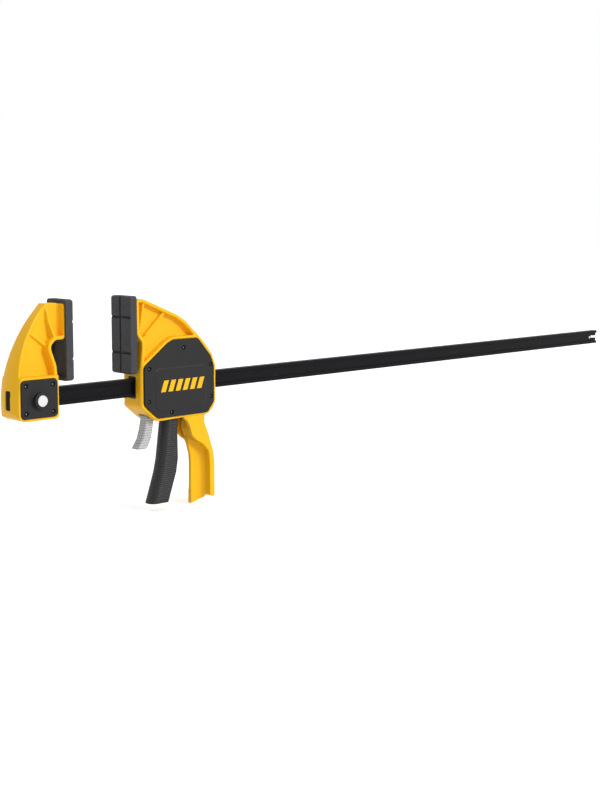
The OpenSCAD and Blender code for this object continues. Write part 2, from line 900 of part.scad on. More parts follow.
module trigger_cheeks() {
    slab(trigger_w) difference() {
        union() {
            translate(pivot) circle(6.3);
            polygon([
                [pivot[0] - 6.3, pivot[1]], [pivot[0] + 6.3, pivot[1]], [65.2, 4],
                [65.2, -17.5], [drive_pin_at[0] + 6, -18.5], [drive_pin_at[0] + 6, -33],
                [75, -37], [78, -38], [78, -40], [60, -40], [53, -28]
            ]);
        }
        translate(pivot) circle(pivot_r + run_fit);
        translate(drive_pin_at) circle(drive_pin_r + 0.02);
    }
}

module trigger() {
    color(charcoal) at_head() {
        difference() {
            trigger_cheeks();
            slab(cheek_gap) translate([0, cheek_low]) square([far, far]);
            slab(trigger_w - 2 * trigger_wall)
                translate([trigger_slices[0][1] + trigger_wall + 1.2, cheek_low - 1 - far])
                square([far, far]);
        }
        trigger_grip();
    }
}

module drive_pin() {
    color(bright_steel) at_head()
        cross_pin(drive_pin_at, drive_pin_r, -trigger_w / 2, trigger_w / 2);
}

// ---------------------------------------------------------------- plates

plate_w = 2 * (cover_seat - 3);
tab_w = cheek_gap - 1.2;
bar_play = 0.35;

module plate_blank(top, shoulder, bottom) {
    difference() {
        union() {
            soften(2) translate([-plate_w / 2, shoulder]) square([plate_w, top - shoulder]);
            soften(1) translate([-tab_w / 2, bottom]) square([tab_w, shoulder - bottom + 3]);
        }
        square([bar_t + 2 * bar_play, bar_h + 2 * bar_play], center = true);
    }
}

module drive_plate(i) {
    x = drive_front + (i - 1) * (drive_plate_t + plate_gap);
    if (i <= drive_plates) color(spring_steel) at_head()
        along_x(x, x + drive_plate_t) plate_blank(bar_h, -bar_h / 2 - 2, drive_pin_at[1] - 4);
}

module drive_plate_1() { drive_plate(1); }
module drive_plate_2() { drive_plate(2); }
module drive_plate_3() { drive_plate(3); }

// The brake plate hangs from the ribs above the bar and leans back to grip it
module brake_plate() {
    color(spring_steel) at_head()
        translate([brake_pivot[0], 0, brake_pivot[1]]) rotate([0, brake_lean, 0])
        translate([-brake_plate_t / 2, 0, -brake_pivot[1]]) difference() {
            along_x(0, brake_plate_t) difference() {
                union() {
                    soften(2) translate([-11, -13.5]) square([22, brake_pivot[1] + 15.5]);
                    translate([-tab_w / 2, -33.5]) square([tab_w, 24]);
                }
                translate([-bar_t / 2 - bar_play, -bar_h / 2 - bar_play - 0.15])
                    square([bar_t + 2 * bar_play, bar_h + 2 * bar_play + 0.3]);
            }
        }
}

// ---------------------------------------------------------------- release lever

lever_slices = [
    [-38.3, 31.6, 43.4], [-52, 28.7, 41], [-63, 25.2, 38.5], [-71, 19.5, 34.2], [-73.5, 18.5, 31.5]
];

module release_lever() {
    // the round nose that pushes the brake plate's tail upright
    nose_r = 1.6;
    nose_z = lever_pivot[1] - 7.5;
    nose_x = brake_rear(nose_z) - brake_plate_t / cos(brake_lean) - 0.1 - nose_r;
    color(cast_silver) at_head() difference() {
        union() {
            slab(lever_w) {
                translate(lever_pivot) circle(3.8);
                translate([nose_x, nose_z]) circle(nose_r);
                polygon([
                    [lever_pivot[0] - 3.8, lever_pivot[1]], [lever_pivot[0] + 3.4,
                    lever_pivot[1] - 1], [nose_x + 1.2, nose_z + 1], [nose_x, nose_z - nose_r],
                    [nose_x - 0.6, nose_z - 3], [nose_x + 1, nose_z - 4.8], [42.4, -37.6],
                    [43.2, -38.5], [31.6, -38.5], [25, -33.5]
                ]);
            }
            for (i = [0 : len(lever_slices) - 2]) hull() for (k = [i, i + 1])
                grip_slice(lever_slices[k][0], lever_slices[k][1], lever_slices[k][2],
                    lever_w - 0.3, 3, 2);
        }
        cross_pin(lever_pivot, lever_pin_r + run_fit, -far, far);
    }
}

// ---------------------------------------------------------------- nodes

bar();
stop_pin();
fixed_jaw();
fixed_jaw_front_cover();
fixed_jaw_rear_cover();
fixed_jaw_screws();
fixed_pad();
quick_release_button();
button_spring();
head_body();
head_front_cover();
head_rear_cover();
head_cover_screws();
moving_pad();
front_bar_guide();
rear_bar_guide();
trigger_pivot_pin();
release_lever_pin();
brake_spring();
drive_spring();
trigger();
drive_pin();
drive_plate_1();
drive_plate_2();
drive_plate_3();
brake_plate();
release_lever();
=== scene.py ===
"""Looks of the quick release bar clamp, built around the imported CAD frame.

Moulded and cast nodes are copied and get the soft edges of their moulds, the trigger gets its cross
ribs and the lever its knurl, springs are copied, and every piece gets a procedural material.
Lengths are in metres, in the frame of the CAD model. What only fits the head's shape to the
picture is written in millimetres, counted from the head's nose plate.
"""

import json
import math

import bmesh
import bpy
import numpy as np
from mathutils import Matrix, Vector


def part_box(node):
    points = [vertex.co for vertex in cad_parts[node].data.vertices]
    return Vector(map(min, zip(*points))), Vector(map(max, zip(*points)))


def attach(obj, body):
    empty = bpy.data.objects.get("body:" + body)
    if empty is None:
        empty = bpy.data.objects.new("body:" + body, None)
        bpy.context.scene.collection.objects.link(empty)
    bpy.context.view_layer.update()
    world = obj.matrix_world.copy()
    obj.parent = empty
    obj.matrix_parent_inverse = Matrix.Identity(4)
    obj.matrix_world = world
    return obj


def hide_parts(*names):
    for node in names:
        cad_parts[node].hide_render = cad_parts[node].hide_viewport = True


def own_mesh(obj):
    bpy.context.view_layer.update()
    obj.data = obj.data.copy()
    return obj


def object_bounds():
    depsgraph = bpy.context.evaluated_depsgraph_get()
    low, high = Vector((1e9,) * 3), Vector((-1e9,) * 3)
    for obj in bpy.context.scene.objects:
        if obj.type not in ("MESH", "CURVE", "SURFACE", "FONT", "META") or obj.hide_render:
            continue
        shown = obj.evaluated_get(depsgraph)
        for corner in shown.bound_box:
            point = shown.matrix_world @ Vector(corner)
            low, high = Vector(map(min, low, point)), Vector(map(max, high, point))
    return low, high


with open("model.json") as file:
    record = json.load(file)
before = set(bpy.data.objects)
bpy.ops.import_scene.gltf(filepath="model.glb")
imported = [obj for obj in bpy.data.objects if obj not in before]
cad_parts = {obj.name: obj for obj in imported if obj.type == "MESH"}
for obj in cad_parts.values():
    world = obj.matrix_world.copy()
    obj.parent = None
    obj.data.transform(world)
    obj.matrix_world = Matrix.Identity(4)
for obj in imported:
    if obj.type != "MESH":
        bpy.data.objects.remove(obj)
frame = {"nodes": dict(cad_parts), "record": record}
cad_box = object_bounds()

MM = 0.001

# Distance between the grooves across the release lever, and between those along it
KNURL_PITCH = 2.9 * MM
KNURL_WIDTH = 3.7 * MM

# ---------------------------------------------------------------- camera

# The photograph's viewpoint: place, turn to the right of +Y, tilt down, roll and focal length
CAMERA_AT = Vector((-0.856, -1.229, 0.202))
CAMERA_YAW = math.radians(44.93)
CAMERA_PITCH = math.radians(7.98)
CAMERA_ROLL = math.radians(0.27)
FOCAL_PIXELS = 1331
PICTURE_HEIGHT = 800
SENSOR = 36


def make_camera():
    forward = Vector((
        math.sin(CAMERA_YAW) * math.cos(CAMERA_PITCH),
        math.cos(CAMERA_YAW) * math.cos(CAMERA_PITCH),
        -math.sin(CAMERA_PITCH),
    ))
    level = Vector((math.cos(CAMERA_YAW), -math.sin(CAMERA_YAW), 0))
    upright = level.cross(forward)
    right = math.cos(CAMERA_ROLL) * level + math.sin(CAMERA_ROLL) * upright
    up = right.cross(forward)
    data = bpy.data.cameras.new("camera")
    data.sensor_width = SENSOR
    data.lens = FOCAL_PIXELS * SENSOR / PICTURE_HEIGHT
    data.clip_start = 0.01
    data.clip_end = 50
    camera = bpy.data.objects.new("camera", data)
    bpy.context.scene.collection.objects.link(camera)
    turn = Matrix((right, up, -forward)).transposed().to_4x4()
    camera.matrix_world = Matrix.Translation(CAMERA_AT) @ turn
    bpy.context.scene.camera = camera


# ---------------------------------------------------------------- materials


class Nodes:
    """A short way to write a node material whose patterns are in the frame's own metres."""

    def __init__(self, name, color, roughness, metallic=0.0, specular=0.5):
        self.material = bpy.data.materials.new(name)
        self.material.use_nodes = True
        self.tree = self.material.node_tree
        self.shader = self.tree.nodes["Principled BSDF"]
        self.place = self.add("ShaderNodeTexCoord").outputs["Object"]
        self.shader.inputs["Base Color"].default_value = (*color, 1)
        self.shader.inputs["Roughness"].default_value = roughness
        self.shader.inputs["Metallic"].default_value = metallic
        self.shader.inputs["Specular IOR Level"].default_value = specular
        self.color = color
        self.normal = None

    def add(self, kind, **settings):
        node = self.tree.nodes.new(kind)
        for key, value in settings.items():
            setattr(node, key, value)
        return node

    def link(self, output, node, socket):
        self.tree.links.new(output, node.inputs[socket])

    def stretched(self, scale):
        mapping = self.add("ShaderNodeMapping")
        mapping.inputs["Scale"].default_value = scale
        self.link(self.place, mapping, "Vector")
        return mapping.outputs["Vector"]

    def noise(self, size, detail=2.0, stretch=None):
        """A noise whose lumps are about size metres across."""
        texture = self.add("ShaderNodeTexNoise")
        texture.inputs["Scale"].default_value = 1 / size
        texture.inputs["Detail"].default_value = detail
        self.link(self.stretched(stretch) if stretch else self.place, texture, "Vector")
        return texture.outputs["Fac"]

    def between(self, factor, low, high, start=0.3, stop=0.7):
        """A factor from start to stop turned into a value from low to high."""
        ramp = self.add("ShaderNodeMapRange")
        ends = {"From Min": start, "From Max": stop, "To Min": low, "To Max": high}
        for socket, value in ends.items():
            ramp.inputs[socket].default_value = value
        self.link(factor, ramp, "Value")
        return ramp.outputs["Result"]

    def vary_color(self, factor, other, amount, start=0.3, stop=0.7):
        """Mix the base colour with another one where the factor is high.

        The mix node's colours are its inputs 6 and 7 and its output 2.
        """
        mix = self.add("ShaderNodeMix", data_type="RGBA")
        base = self.shader.inputs["Base Color"]
        if base.is_linked:
            self.tree.links.new(base.links[0].from_socket, mix.inputs[6])
        else:
            mix.inputs[6].default_value = (*self.color, 1)
        mix.inputs[7].default_value = (*other, 1)
        self.link(self.between(factor, 0, amount, start, stop), mix, 0)
        self.link(mix.outputs[2], self.shader, "Base Color")

    def grooves(self, axis, pitch):
        """0 in the middle of parallel grooves and up to 1 between them."""
        parts = self.add("ShaderNodeSeparateXYZ")
        self.link(self.place, parts, 0)
        turn = self.add("ShaderNodeMath", operation="MULTIPLY")
        turn.inputs[1].default_value = math.pi / pitch
        self.link(parts.outputs[axis], turn, 0)
        wave = self.add("ShaderNodeMath", operation="SINE")
        self.link(turn.outputs[0], wave, 0)
        height = self.add("ShaderNodeMath", operation="ABSOLUTE")
        self.link(wave.outputs[0], height, 0)
        return height.outputs[0]

    def vary_roughness(self, factor, low, high):
        self.link(self.between(factor, low, high), self.shader, "Roughness")

    def bump(self, factor, depth, strength=1.0):
        node = self.add("ShaderNodeBump")
        node.inputs["Strength"].default_value = strength
        node.inputs["Distance"].default_value = depth
        self.link(factor, node, "Height")
        if self.normal:
            self.link(self.normal, node, "Normal")
        self.normal = node.outputs["Normal"]
        self.link(self.normal, self.shader, "Normal")


def black_plastic(name, color, lighter, roughness, specular, grain, depth):
    """Dark moulded plastic: fine grain, a little uneven in tone and gloss."""
    m = Nodes(name, color, roughness, specular=specular)
    m.vary_color(m.noise(14 * MM, 4), lighter, 0.6)
    m.vary_color(m.noise(1.3 * MM, 3), lighter, 0.5)
    m.vary_roughness(m.noise(4 * MM, 3), roughness - 0.06, roughness + 0.08)
    m.bump(m.noise(grain, 3), depth, 0.7)
    return m.material


def jaw_plastic():
    """Yellow glass-filled plastic: satin, slightly mottled, with a very fine grain."""
    m = Nodes("jaw_yellow", (0.98, 0.545, 0.006), 0.4, specular=0.24)
    m.vary_color(m.noise(32 * MM, 3), (0.95, 0.475, 0.004), 0.5)
    m.vary_color(m.noise(1.8 * MM, 3), (0.92, 0.45, 0.004), 0.3)
    m.vary_roughness(m.noise(5 * MM, 3), 0.36, 0.5)
    m.bump(m.noise(0.8 * MM, 2), 0.03 * MM, 0.5)
    m.bump(m.noise(22 * MM, 1), 0.15 * MM, 0.2)
    return m.material


def bar_coating():
    """Black oxide on a drawn bar: streaks along it and small scuffs from the sliding head."""
    m = Nodes("bar_black", (0.008, 0.008, 0.009), 0.42, specular=0.05)
    streaks = m.noise(1.4 * MM, 3, stretch=(0.02, 1, 1))
    m.vary_color(streaks, (0.012, 0.012, 0.014), 0.7)
    m.vary_roughness(streaks, 0.32, 0.5)
    m.vary_color(m.noise(5 * MM, 5, stretch=(0.15, 1, 1)), (0.03, 0.03, 0.032), 0.6, 0.64, 0.8)
    m.bump(streaks, 0.04 * MM, 0.5)
    m.bump(m.noise(0.6 * MM, 2), 0.03 * MM, 0.4)
    return m.material


def steel(name, color, roughness, streak=None):
    m = Nodes(name, color, roughness, metallic=1.0)
    lines = m.noise(0.5 * MM, 3, stretch=streak or (1, 1, 1))
    m.vary_color(lines, tuple(0.75 * c for c in color), 0.5)
    m.vary_roughness(lines, roughness - 0.08, roughness + 0.1)
    m.bump(lines, 0.02 * MM, 0.4)
    return m.material


def cast_alloy():
    """Cast alloy with painted shade in dark bands along the grooves of the finger part's knurl."""
    m = Nodes("lever_alloy", (0.5, 0.51, 0.52), 0.42, metallic=0.3)
    m.vary_color(m.noise(2.2 * MM, 3), (0.4, 0.41, 0.42), 0.5)
    # dark bands at the knurl's pitch, across and along the lever: painted shade in the grooves
    m.vary_color(m.grooves("Z", KNURL_PITCH), (0.12, 0.12, 0.125), 0.75, 0.5, 0.12)
    m.vary_color(m.grooves("Y", KNURL_WIDTH), (0.12, 0.12, 0.125), 0.7, 0.4, 0.12)
    m.vary_roughness(m.noise(2 * MM, 3), 0.38, 0.55)
    m.bump(m.noise(0.7 * MM, 3), 0.05 * MM, 0.6)
    return m.material


def make_materials():
    return {
        "bar_coating": bar_coating(),
        "jaw_plastic": jaw_plastic(),
        "cover_plastic": black_plastic(
            "cover_black", (0.012, 0.012, 0.013), (0.018, 0.018, 0.019),
            roughness=0.48, specular=0.22, grain=0.7 * MM, depth=0.1 * MM),
        "pad_rubber": black_plastic(
            "pad_rubber", (0.036, 0.036, 0.039), (0.05, 0.05, 0.054),
            roughness=0.62, specular=0.32, grain=0.9 * MM, depth=0.05 * MM),
        "trigger_plastic": black_plastic(
            "trigger_black", (0.007, 0.007, 0.008), (0.011, 0.011, 0.012),
            roughness=0.5, specular=0.4, grain=0.8 * MM, depth=0.05 * MM),
        "guide_plastic": black_plastic(
            "guide_black", (0.018, 0.018, 0.02), (0.028, 0.028, 0.03),
            roughness=0.5, specular=0.25, grain=1 * MM, depth=0.04 * MM),
        "lever_alloy": cast_alloy(),
        "bright_steel": steel("bright_steel", (0.74, 0.74, 0.76), 0.3),
        "plate_steel": steel("plate_steel", (0.4, 0.41, 0.42), 0.4, (1, 1, 0.1)),
        "spring_steel": steel("spring_steel", (0.42, 0.43, 0.45), 0.32),
        "screw_steel": black_plastic(
            "screw_black", (0.002, 0.002, 0.002), (0.005, 0.005, 0.005),
            roughness=0.5, specular=0.08, grain=0.5 * MM, depth=0.02 * MM),
        # bright bare steel for the screws' driver recesses: a painted highlight
        "painted_glint_recess": steel("painted_glint_recess", (0.3, 0.3, 0.29), 0.45),
    }


# ---------------------------------------------------------------- pieces from CAD nodes


def copied(node, piece):
    """A new object with the node's shape as one closed mesh."""
    mesh = frame["nodes"][node].data.copy()
    mesh.name = piece
    mesh.materials.clear()
    for layer in list(mesh.uv_layers):
        mesh.uv_layers.remove(layer)
    if mesh.has_custom_normals:
        mesh.attributes.remove(mesh.attributes["custom_normal"])
    obj = bpy.data.objects.new(piece, mesh)
    bpy.context.scene.collection.objects.link(obj)
    shape = bmesh.new()
    shape.from_mesh(mesh)
    bmesh.ops.remove_doubles(shape, verts=shape.verts, dist=0.002 * MM)
    shape.to_mesh(mesh)
    shape.free()
    return obj


def apply_modifiers(obj):
    graph = bpy.context.evaluated_depsgraph_get()
    mesh = bpy.data.meshes.new_from_object(obj.evaluated_get(graph))
    obj.modifiers.clear()
    old = obj.data
    name = old.name
    obj.data = mesh
    bpy.data.meshes.remove(old)
    mesh.name = name


def points_of(obj):
    flat = np.empty(3 * len(obj.data.vertices))
    obj.data.vertices.foreach_get("co", flat)
    return flat.reshape(-1, 3)


def normals_of(obj):
    flat = np.empty(3 * len(obj.data.vertices))
    obj.data.vertex_normals.foreach_get("vector", flat)
    return flat.reshape(-1, 3)


def move_points(obj, points):
    obj.data.vertices.foreach_set("co", points.ravel())
    obj.data.update()


def smooth(obj, rounds, weights=None):
    """Soften the edges, more with each round, where weights says so or everywhere."""
    modifier = obj.modifiers.new("soft_edges", "SMOOTH")
    modifier.factor = 0.5
    modifier.iterations = rounds
    if weights is not None:
        group = obj.vertex_groups.new(name="soft")
        for index in np.flatnonzero(weights > 0.01):
            group.add([int(index)], float(weights[index]), "REPLACE")
        modifier.vertex_group = "soft"
    apply_modifiers(obj)
    obj.vertex_groups.clear()


def add_solid(obj, outline, y0, y1):
    """Add the prism over a convex outline in X and Z, between two values of Y, to a mesh."""
    shape = bmesh.new()
    shape.from_mesh(obj.data)
    rings = [[shape.verts.new((x, y, z)) for x, z in outline] for y in (y0, y1)]
    count = len(outline)
    faces = [shape.faces.new(rings[0]), shape.faces.new(rings[1])]
    for i in range(count):
        k = (i + 1) % count
        faces.append(shape.faces.new((rings[0][i], rings[0][k], rings[1][k], rings[1][i])))
    bmesh.ops.recalc_face_normals(shape, faces=faces)
    shape.to_mesh(obj.data)
    shape.free()


def mould(node, voxel, rounds, faces, fit=None, broad=(), carve=None, extra=None):
    """Replace a CAD node by a copy with the soft edges of a moulded or cast piece.

    fit moves the copy's points, extra adds closed solids to it. It is remeshed evenly and smoothed,
    broadly where broad gives a weight, then carve cuts its fine pattern, and last it is brought
    down to about the number of faces.
    """
    obj = copied(node, f"{node}_moulded")
    if extra:
        add_solid(obj, *extra)
    remesh = obj.modifiers.new("even_mesh", "REMESH")
    remesh.mode = "VOXEL"
    remesh.voxel_size = voxel
    apply_modifiers(obj)
    smooth(obj, rounds)
    for where, more in broad:
        smooth(obj, more, where(points_of(obj)))
    if fit:
        move_points(obj, fit(points_of(obj)))
    if carve:
        move_points(obj, carve(points_of(obj), normals_of(obj)))
    decimate = obj.modifiers.new("fewer_faces", "DECIMATE")
    decimate.ratio = min(1, faces / (2 * len(obj.data.polygons)))
    apply_modifiers(obj)
    obj.data.shade_smooth()
    weighted = obj.modifiers.new("weighted_normals", "WEIGHTED_NORMAL")
    weighted.weight = 70
    return finish_piece(obj, node)


def bevelled(node, width, segments=2, extra=None):
    """Replace a CAD node by a copy with rounded edges, for shapes made of few flat faces."""
    obj = copied(node, f"{node}_bevelled")
    if extra:
        add_solid(obj, *extra)
    shape = bmesh.new()
    shape.from_mesh(obj.data)
    bmesh.ops.dissolve_limit(
        shape, angle_limit=math.radians(0.5), verts=shape.verts, edges=shape.edges)
    shape.to_mesh(obj.data)
    shape.free()
    obj.data.shade_smooth()
    bevel = obj.modifiers.new("rounded_edges", "BEVEL")
    bevel.width = width
    bevel.segments = segments
    bevel.limit_method = "ANGLE"
    bevel.angle_limit = math.radians(34)
    bevel.use_clamp_overlap = True
    weighted = obj.modifiers.new("weighted_normals", "WEIGHTED_NORMAL")
    weighted.weight = 80
    return finish_piece(obj, node)


def spring(node, axis):
    """Replace a spring by a copy of it with its material."""
    obj = finish_piece(copied(node, f"{node}_coils"), node)
    obj.data.shade_smooth()
    points = points_of(obj) @ np.array(axis, float)
    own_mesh(obj)
    return obj


def finish_piece(obj, node):
    obj.data.materials.append(MATERIALS[SLOTS[node]])
    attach(obj, BODY_OF[node])
    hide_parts(node)
    return obj


def dress_node(node):
    """Give a CAD node that stays its finish."""
    obj = frame["nodes"][node]
    obj.data.materials.clear()
    obj.data.materials.append(MATERIALS[SLOTS[node]])


# ---------------------------------------------------------------- stage and light

FLOOR_HALF = 12
FLOOR_GAP = 0.5 * MM
FLOOR_COLOR = 0.8
# What brings the lit floor up to white for the camera, and the light that the world gives
FLOOR_GLOW = 0.5
WORLD_LIGHT = 0.57


def seen_directly(tree):
    """1 for what looks at the backdrop directly, in mirrors or through glass, and otherwise 0."""
    path = tree.nodes.new("ShaderNodeLightPath")
    glossy = tree.nodes.new("ShaderNodeMath")
    glossy.operation = "MAXIMUM"
    tree.links.new(path.outputs["Is Camera Ray"], glossy.inputs[0])
    tree.links.new(path.outputs["Is Glossy Ray"], glossy.inputs[1])
    seen = tree.nodes.new("ShaderNodeMath")
    seen.operation = "MAXIMUM"
    tree.links.new(glossy.outputs[0], seen.inputs[0])
    tree.links.new(path.outputs["Is Transmission Ray"], seen.inputs[1])
    return seen.outputs[0]


def make_stage():
    half = FLOOR_HALF
    corners = [(-half, -half, 0), (half, -half, 0), (half, half, 0), (-half, half, 0)]
    floor_mesh = bpy.data.meshes.new("floor")
    floor_mesh.from_pydata(corners, [], [(0, 1, 2, 3)])
    floor = bpy.data.objects.new("floor", floor_mesh)
    floor.location.z = cad_box[0].z - FLOOR_GAP
    bpy.context.scene.collection.objects.link(floor)
    material = bpy.data.materials.new("floor_white")
    material.use_nodes = True
    tree = material.node_tree
    shader = tree.nodes["Principled BSDF"]
    shader.inputs["Base Color"].default_value = (FLOOR_COLOR, FLOOR_COLOR, FLOOR_COLOR, 1)
    shader.inputs["Roughness"].default_value = 1
    shader.inputs["Specular IOR Level"].default_value = 0
    shader.inputs["Emission Color"].default_value = (1, 1, 1, 1)
    glow = tree.nodes.new("ShaderNodeMath")
    glow.operation = "MULTIPLY"
    glow.inputs[1].default_value = FLOOR_GLOW
    tree.links.new(seen_directly(tree), glow.inputs[0])
    tree.links.new(glow.outputs[0], shader.inputs["Emission Strength"])
    floor_mesh.materials.append(material)


def make_world():
    world = bpy.data.worlds.new("studio")
    bpy.context.scene.world = world
    world.use_nodes = True
    tree = world.node_tree
    tree.nodes.clear()
    output = tree.nodes.new("ShaderNodeOutputWorld")
    light = tree.nodes.new("ShaderNodeBackground")
    light.inputs["Color"].default_value = (1, 1, 1, 1)
    light.inputs["Strength"].default_value = WORLD_LIGHT
    backdrop = tree.nodes.new("ShaderNodeBackground")
    backdrop.inputs["Color"].default_value = (1, 1, 1, 1)
    backdrop.inputs["Strength"].default_value = 1
    mix = tree.nodes.new("ShaderNodeMixShader")
    tree.links.new(seen_directly(tree), mix.inputs[0])
    tree.links.new(light.outputs[0], mix.inputs[1])
    tree.links.new(backdrop.outputs[0], mix.inputs[2])
    tree.links.new(mix.outputs[0], output.inputs["Surface"])


def soft_sun(name, towards, power, width):
    """A broad lamp, the same all over the floor. towards points from the object to the lamp."""
    data = bpy.data.lights.new(name, "SUN")
    data.energy = power
    data.angle = math.radians(width)
    lamp = bpy.data.objects.new(name, data)
    bpy.context.scene.collection.objects.link(lamp)
    lamp.location = Vector(towards).normalized() * 3
    lamp.rotation_mode = "QUATERNION"
    lamp.rotation_quaternion = Vector(towards).to_track_quat("Z", "Y")


def make_lights():
    soft_sun("key", (0.3, -0.86, 0.4), 1.75, 20)
    soft_sun("top", (0, 0.1, 1), 0.5, 60)


# ---------------------------------------------------------------- the clamp

SLOTS = {s["node"]: s["material_slot"] for s in frame["record"]["subparts"]}
BODY_OF = {n: b for b, nodes in frame["record"]["behaviour"]["bodies"].items() for n in nodes}
MATERIALS = make_materials()


def step(value, start, stop):
    """0 before start, 1 after stop and a soft rise between them."""
    t = np.clip((value - start) / (stop - start), 0, 1)
    return t * t * (3 - 2 * t)


# X of the head's nose plate, which the head's own lengths are counted from
HEAD_X = 77 * MM


def head_place(points):
    """In millimetres: X from the nose plate, depth below the bar and distance from the middle."""
    x = points[:, 0] / MM - HEAD_X / MM
    return x, -points[:, 2] / MM, np.abs(points[:, 1]) / MM


# The slope's upper end and the direction out of it, in X and depth, and how far the housing comes
# forward at the slope and down at its underside
SLOPE_TOP = (16, 20)
SLOPE_OUT = (-0.631, 0.776)
SLOPE_FORWARD = 1 * MM
UNDERSIDE_DOWN = 1.4 * MM


def fuller_underside(points):
    """The housing's slope and underside a little further out, below the cover."""
    points = points.copy()
    x, depth, _ = head_place(points)
    outside = SLOPE_OUT[0] * (x - SLOPE_TOP[0]) + SLOPE_OUT[1] * (depth - SLOPE_TOP[1])
    share = np.maximum(step(outside, -5, -1), step(depth, 36, 40)) * step(depth, 15, 24)
    share = np.where((x < 84) & (depth < 43), share * (1 - step(x, 70, 84)), 0)
    points[:, 0] -= share * (1 - step(x, 32, 44)) * SLOPE_FORWARD
    points[:, 2] -= share * (1 - 0.5 * step(x, 44, 76)) * UNDERSIDE_DOWN
    return points


# Each row of the grip: the depth, the X of the web's front, of the wall behind the web and of the
# grip's back at that depth, and how far the picture shows each of the three further back
GRIP_ROWS = np.array([
    (41, 88, 81, 115, 0, 0, 0),
    (45, 89, 82.5, 112, 0.3, 3.6, 2.2),
    (52, 89.8, 87.5, 111.5, 0.4, 2.5, 3),
    (60, 91.6, 90.4, 115.5, 0.4, 2.1, 2.6),
    (64, 93.4, 92, 117.5, 0.3, 2.1, 2.6),
    (70.5, 96.2, 99, 119.8, 0, 1.8, 2.4),
    (77, 98.6, 111, 122, -0.4, 1, 2.1),
    (85.5, 101.3, 116.5, 124.5, -0.6, 3.2, 2.1),
    (93, 102.6, 117.2, 126.3, -0.8, 3.9, 2.3),
    (102, 103.5, 118, 127, -1, 4, 2.6),
    (115, 103.5, 118, 127, -1, 4, 2.7),
    (160, 103.5, 118, 127, -1, 4, 2.7),
])
# The depth of the housing's underside, and the X behind which the grip hangs below it
HOUSING_LOW, GRIP_START = 41, 80
# The web's half thickness in the solid: a round front on a flat middle
WEB_RADIUS, WEB_FLAT = 6, 0.5
# The thinner plate that the picture shows: half thickness, edge radius and arc into the wall
PLATE_HALF, PLATE_EDGE, PLATE_ARC = 2.3, 1, 10


def grip_at(depth):
    """The columns of GRIP_ROWS after the first, at each depth."""
    return [np.interp(depth, GRIP_ROWS[:, 0], column) for column in GRIP_ROWS.T[1:]]


def grip_fit(points):
    """The grip's back and the wall in front of it further back, and its web as a thinner plate."""
    points = fuller_underside(points)
    x, depth, side = head_place(points)
    grip = (depth > HOUSING_LOW) & (x > GRIP_START)
    web, wall, back, move_web, move_wall, move_back = grip_at(depth)
    near = np.minimum(web, wall - 1)
    on_web = np.clip((x - near) / (wall - near), 0, 1)
    on_back = np.clip((x - wall) / (back - wall), 0, 1)
    move = move_web + on_web * (move_wall - move_web) + on_back * (move_back - move_wall)
    points[:, 0] += np.where(grip, move * MM, 0)
    behind = np.clip(x - web, 0, WEB_RADIUS)
    was = WEB_FLAT + np.sqrt(WEB_RADIUS ** 2 - (WEB_RADIUS - behind) ** 2)
    edge = np.clip(PLATE_EDGE - behind, 0, PLATE_EDGE)
    plate = PLATE_HALF - PLATE_EDGE + np.sqrt(PLATE_EDGE ** 2 - edge ** 2)
    swell = np.clip(x - (wall - PLATE_ARC), 0, PLATE_ARC)
    arc = PLATE_ARC - np.sqrt(PLATE_ARC ** 2 - swell ** 2)
    now = np.minimum(plate + arc, WEB_RADIUS + WEB_FLAT)
    on_plate = grip & (side < WEB_RADIUS + WEB_FLAT + 0.2) & (x < back - 1)
    share = np.where(on_plate, step(depth, 62, 80), 0)
    points[:, 1] *= 1 + share * (now / was - 1)
    return points


def grip_fillet(points):
    """Where the web runs into the wall behind it."""
    x, depth, side = head_place(points)
    wall = grip_at(depth)[1]
    return ((depth > 93) & (np.abs(x - wall + 1.5) < 6) & (side > 4) & (side < 13.5)).astype(float)


def housing_edges(points):
    """The outer edges of the head's housing."""
    x, depth, side = head_place(points)
    return ((x > 14) & (depth < HOUSING_LOW) & (depth > -60) & (side > 13)).astype(float)


# The plate that closes the lever's slot in the housing: X and Z of its corners, and half its width
SLOT_LIP = [(17.4, -21.2), (18.1, -20.4), (31.9, -31.6), (31.2, -32.4)]
LIP_HALF = 8.4 * MM

# The least X of the lever's neck at each depth, and the depth where the neck ends
NECK_DEPTH = (26.9, 27, 30, 33, 38.5)
NECK_FRONT = (0, 27, 29.3, 32.2, 31.6)
NECK_END = 38.6


def slim_lever(points):
    """The lever's neck drawn back behind the housing's slope."""
    points = points.copy()
    x, depth, _ = head_place(points)
    drawn = np.maximum(x, np.interp(depth, NECK_DEPTH, NECK_FRONT))
    points[:, 0] = np.where(depth < NECK_END, drawn, x) * MM + HEAD_X
    return points


# Depth of the lever's grooves
KNURL_DEPTH = 0.3 * MM


def front_distance(x, z):
    """How far each point lies behind the front at its own height."""
    height = 2 * MM
    level = ((z - z.min()) / height).astype(int)
    front = np.full(level.max() + 1, 1.0)
    np.minimum.at(front, level, x)
    middle = z.min() + (np.arange(len(front)) + 0.5) * height
    return x - np.interp(z, middle, front)


def rear_distance(x, z):
    return front_distance(-x, z)


